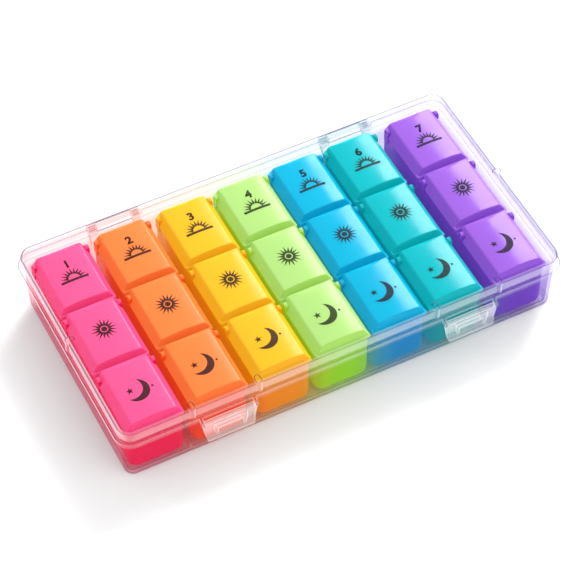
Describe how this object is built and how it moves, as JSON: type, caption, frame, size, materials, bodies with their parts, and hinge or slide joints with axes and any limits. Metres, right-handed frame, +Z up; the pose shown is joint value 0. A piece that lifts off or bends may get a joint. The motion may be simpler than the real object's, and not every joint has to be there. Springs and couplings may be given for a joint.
{
  "type": "weekly pill organizer",
  "caption": "Weekly pill organizer: a clear latched case holding a coloured box for each day, with hinged lids for morning, noon and night.",
  "frame": {"origin": "centre of the case's flat underside", "axes": "+X from the first day to the last, +Y from the latches to the rear hinge, +Z up"},
  "size_m": [0.225, 0.1282, 0.0372],
  "materials": {
    "clear_case": "clear, slightly milky moulded plastic",
    "pink_plastic": "translucent tinted moulded plastic",
    "orange_plastic": "translucent tinted moulded plastic",
    "amber_plastic": "translucent tinted moulded plastic",
    "lime_plastic": "translucent tinted moulded plastic",
    "sky_plastic": "translucent tinted moulded plastic",
    "teal_plastic": "translucent tinted moulded plastic",
    "violet_plastic": "translucent tinted moulded plastic"
  },
  "bodies": {
    "case_base": {"case_base": "clear_case"},
    "case_lid": {"case_lid": "clear_case"},
    "latch_left": {"latch_left": "clear_case"},
    "latch_right": {"latch_right": "clear_case"},
    "day1_box": {"day1_box": "pink_plastic"},
    "day1_lid_night": {"day1_lid_night": "pink_plastic"},
    "day1_lid_noon": {"day1_lid_noon": "pink_plastic"},
    "day1_lid_morning": {"day1_lid_morning": "pink_plastic"},
    "day2_box": {"day2_box": "orange_plastic"},
    "day2_lid_night": {"day2_lid_night": "orange_plastic"},
    "day2_lid_noon": {"day2_lid_noon": "orange_plastic"},
    "day2_lid_morning": {"day2_lid_morning": "orange_plastic"},
    "day3_box": {"day3_box": "amber_plastic"},
    "day3_lid_night": {"day3_lid_night": "amber_plastic"},
    "day3_lid_noon": {"day3_lid_noon": "amber_plastic"},
    "day3_lid_morning": {"day3_lid_morning": "amber_plastic"},
    "day4_box": {"day4_box": "lime_plastic"},
    "day4_lid_night": {"day4_lid_night": "lime_plastic"},
    "day4_lid_noon": {"day4_lid_noon": "lime_plastic"},
    "day4_lid_morning": {"day4_lid_morning": "lime_plastic"},
    "day5_box": {"day5_box": "sky_plastic"},
    "day5_lid_night": {"day5_lid_night": "sky_plastic"},
    "day5_lid_noon": {"day5_lid_noon": "sky_plastic"},
    "day5_lid_morning": {"day5_lid_morning": "sky_plastic"},
    "day6_box": {"day6_box": "teal_plastic"},
    "day6_lid_night": {"day6_lid_night": "teal_plastic"},
    "day6_lid_noon": {"day6_lid_noon": "teal_plastic"},
    "day6_lid_morning": {"day6_lid_morning": "teal_plastic"},
    "day7_box": {"day7_box": "violet_plastic"},
    "day7_lid_night": {"day7_lid_night": "violet_plastic"},
    "day7_lid_noon": {"day7_lid_noon": "violet_plastic"},
    "day7_lid_morning": {"day7_lid_morning": "violet_plastic"}
  },
  "joints": [
    {"name": "case_lid_hinge", "type": "hinge", "parent": "case_base", "child": "case_lid", "pos_m": [0, 0.0616, 0.0271], "axis": [-1, 0, 0], "range_deg": [0, 180]},
    {"name": "latch_left_hinge", "type": "hinge", "parent": "case_lid", "child": "latch_left", "pos_m": [-0.061, -0.062, 0.026], "axis": [-1, 0, 0], "range_deg": [0, 100]},
    {"name": "latch_right_hinge", "type": "hinge", "parent": "case_lid", "child": "latch_right", "pos_m": [0.061, -0.062, 0.026], "axis": [-1, 0, 0], "range_deg": [0, 100]},
    {"name": "day1_box_lift", "type": "slide", "parent": "case_base", "child": "day1_box", "axis": [0, 0, 1], "range_m": [0, 0.03]},
    {"name": "day1_lid_night_hinge", "type": "hinge", "parent": "day1_box", "child": "day1_lid_night", "pos_m": [-0.093, -0.02275, 0.0302], "axis": [-1, 0, 0], "range_deg": [0, 104]},
    {"name": "day1_lid_noon_hinge", "type": "hinge", "parent": "day1_box", "child": "day1_lid_noon", "pos_m": [-0.093, 0.01335, 0.0302], "axis": [-1, 0, 0], "range_deg": [0, 104]},
    {"name": "day1_lid_morning_hinge", "type": "hinge", "parent": "day1_box", "child": "day1_lid_morning", "pos_m": [-0.093, 0.04945, 0.0302], "axis": [-1, 0, 0], "range_deg": [0, 104]},
    {"name": "day2_box_lift", "type": "slide", "parent": "case_base", "child": "day2_box", "axis": [0, 0, 1], "range_m": [0, 0.03]},
    {"name": "day2_lid_night_hinge", "type": "hinge", "parent": "day2_box", "child": "day2_lid_night", "pos_m": [-0.0616, -0.02275, 0.0302], "axis": [-1, 0, 0], "range_deg": [0, 104]},
    {"name": "day2_lid_noon_hinge", "type": "hinge", "parent": "day2_box", "child": "day2_lid_noon", "pos_m": [-0.0616, 0.01335, 0.0302], "axis": [-1, 0, 0], "range_deg": [0, 104]},
    {"name": "day2_lid_morning_hinge", "type": "hinge", "parent": "day2_box", "child": "day2_lid_morning", "pos_m": [-0.0616, 0.04945, 0.0302], "axis": [-1, 0, 0], "range_deg": [0, 104]},
    {"name": "day3_box_lift", "type": "slide", "parent": "case_base", "child": "day3_box", "axis": [0, 0, 1], "range_m": [0, 0.03]},
    {"name": "day3_lid_night_hinge", "type": "hinge", "parent": "day3_box", "child": "day3_lid_night", "pos_m": [-0.03, -0.02275, 0.0302], "axis": [-1, 0, 0], "range_deg": [0, 104]},
    {"name": "day3_lid_noon_hinge", "type": "hinge", "parent": "day3_box", "child": "day3_lid_noon", "pos_m": [-0.03, 0.01335, 0.0302], "axis": [-1, 0, 0], "range_deg": [0, 104]},
    {"name": "day3_lid_morning_hinge", "type": "hinge", "parent": "day3_box", "child": "day3_lid_morning", "pos_m": [-0.03, 0.04945, 0.0302], "axis": [-1, 0, 0], "range_deg": [0, 104]},
    {"name": "day4_box_lift", "type": "slide", "parent": "case_base", "child": "day4_box", "axis": [0, 0, 1], "range_m": [0, 0.03]},
    {"name": "day4_lid_night_hinge", "type": "hinge", "parent": "day4_box", "child": "day4_lid_night", "pos_m": [-0.0002, -0.02275, 0.0302], "axis": [-1, 0, 0], "range_deg": [0, 104]},
    {"name": "day4_lid_noon_hinge", "type": "hinge", "parent": "day4_box", "child": "day4_lid_noon", "pos_m": [-0.0002, 0.01335, 0.0302], "axis": [-1, 0, 0], "range_deg": [0, 104]},
    {"name": "day4_lid_morning_hinge", "type": "hinge", "parent": "day4_box", "child": "day4_lid_morning", "pos_m": [-0.0002, 0.04945, 0.0302], "axis": [-1, 0, 0], "range_deg": [0, 104]},
    {"name": "day5_box_lift", "type": "slide", "parent": "case_base", "child": "day5_box", "axis": [0, 0, 1], "range_m": [0, 0.03]},
    {"name": "day5_lid_night_hinge", "type": "hinge", "parent": "day5_box", "child": "day5_lid_night", "pos_m": [0.0287, -0.02275, 0.0302], "axis": [-1, 0, 0], "range_deg": [0, 104]},
    {"name": "day5_lid_noon_hinge", "type": "hinge", "parent": "day5_box", "child": "day5_lid_noon", "pos_m": [0.0287, 0.01335, 0.0302], "axis": [-1, 0, 0], "range_deg": [0, 104]},
    {"name": "day5_lid_morning_hinge", "type": "hinge", "parent": "day5_box", "child": "day5_lid_morning", "pos_m": [0.0287, 0.04945, 0.0302], "axis": [-1, 0, 0], "range_deg": [0, 104]},
    {"name": "day6_box_lift", "type": "slide", "parent": "case_base", "child": "day6_box", "axis": [0, 0, 1], "range_m": [0, 0.03]},
    {"name": "day6_lid_night_hinge", "type": "hinge", "parent": "day6_box", "child": "day6_lid_night", "pos_m": [0.0582, -0.02275, 0.0302], "axis": [-1, 0, 0], "range_deg": [0, 104]},
    {"name": "day6_lid_noon_hinge", "type": "hinge", "parent": "day6_box", "child": "day6_lid_noon", "pos_m": [0.0582, 0.01335, 0.0302], "axis": [-1, 0, 0], "range_deg": [0, 104]},
    {"name": "day6_lid_morning_hinge", "type": "hinge", "parent": "day6_box", "child": "day6_lid_morning", "pos_m": [0.0582, 0.04945, 0.0302], "axis": [-1, 0, 0], "range_deg": [0, 104]},
    {"name": "day7_box_lift", "type": "slide", "parent": "case_base", "child": "day7_box", "axis": [0, 0, 1], "range_m": [0, 0.03]},
    {"name": "day7_lid_night_hinge", "type": "hinge", "parent": "day7_box", "child": "day7_lid_night", "pos_m": [0.0915, -0.02275, 0.0302], "axis": [-1, 0, 0], "range_deg": [0, 104]},
    {"name": "day7_lid_noon_hinge", "type": "hinge", "parent": "day7_box", "child": "day7_lid_noon", "pos_m": [0.0915, 0.01335, 0.0302], "axis": [-1, 0, 0], "range_deg": [0, 104]},
    {"name": "day7_lid_morning_hinge", "type": "hinge", "parent": "day7_box", "child": "day7_lid_morning", "pos_m": [0.0915, 0.04945, 0.0302], "axis": [-1, 0, 0], "range_deg": [0, 104]}
  ],
  "couplings": [
    {"joint": "day1_box_lift", "follows": "case_lid_hinge", "m_per_rad": 0.0095492},
    {"joint": "day1_lid_night_hinge", "follows": "case_lid_hinge", "ratio": 0.5777},
    {"joint": "day1_lid_noon_hinge", "follows": "case_lid_hinge", "ratio": 0.5777},
    {"joint": "day1_lid_morning_hinge", "follows": "case_lid_hinge", "ratio": 0.5777},
    {"joint": "day2_box_lift", "follows": "case_lid_hinge", "m_per_rad": 0.0095492},
    {"joint": "day2_lid_night_hinge", "follows": "case_lid_hinge", "ratio": 0.5777},
    {"joint": "day2_lid_noon_hinge", "follows": "case_lid_hinge", "ratio": 0.5777},
    {"joint": "day2_lid_morning_hinge", "follows": "case_lid_hinge", "ratio": 0.5777},
    {"joint": "day3_box_lift", "follows": "case_lid_hinge", "m_per_rad": 0.0095492},
    {"joint": "day3_lid_night_hinge", "follows": "case_lid_hinge", "ratio": 0.5777},
    {"joint": "day3_lid_noon_hinge", "follows": "case_lid_hinge", "ratio": 0.5777},
    {"joint": "day3_lid_morning_hinge", "follows": "case_lid_hinge", "ratio": 0.5777},
    {"joint": "day4_box_lift", "follows": "case_lid_hinge", "m_per_rad": 0.0095492},
    {"joint": "day4_lid_night_hinge", "follows": "case_lid_hinge", "ratio": 0.5777},
    {"joint": "day4_lid_noon_hinge", "follows": "case_lid_hinge", "ratio": 0.5777},
    {"joint": "day4_lid_morning_hinge", "follows": "case_lid_hinge", "ratio": 0.5777},
    {"joint": "day5_box_lift", "follows": "case_lid_hinge", "m_per_rad": 0.0095492},
    {"joint": "day5_lid_night_hinge", "follows": "case_lid_hinge", "ratio": 0.5777},
    {"joint": "day5_lid_noon_hinge", "follows": "case_lid_hinge", "ratio": 0.5777},
    {"joint": "day5_lid_morning_hinge", "follows": "case_lid_hinge", "ratio": 0.5777},
    {"joint": "day6_box_lift", "follows": "case_lid_hinge", "m_per_rad": 0.0095492},
    {"joint": "day6_lid_night_hinge", "follows": "case_lid_hinge", "ratio": 0.5777},
    {"joint": "day6_lid_noon_hinge", "follows": "case_lid_hinge", "ratio": 0.5777},
    {"joint": "day6_lid_morning_hinge", "follows": "case_lid_hinge", "ratio": 0.5777},
    {"joint": "day7_box_lift", "follows": "case_lid_hinge", "m_per_rad": 0.0095492},
    {"joint": "day7_lid_night_hinge", "follows": "case_lid_hinge", "ratio": 0.5777},
    {"joint": "day7_lid_noon_hinge", "follows": "case_lid_hinge", "ratio": 0.5777},
    {"joint": "day7_lid_morning_hinge", "follows": "case_lid_hinge", "ratio": 0.5777}
  ]
}
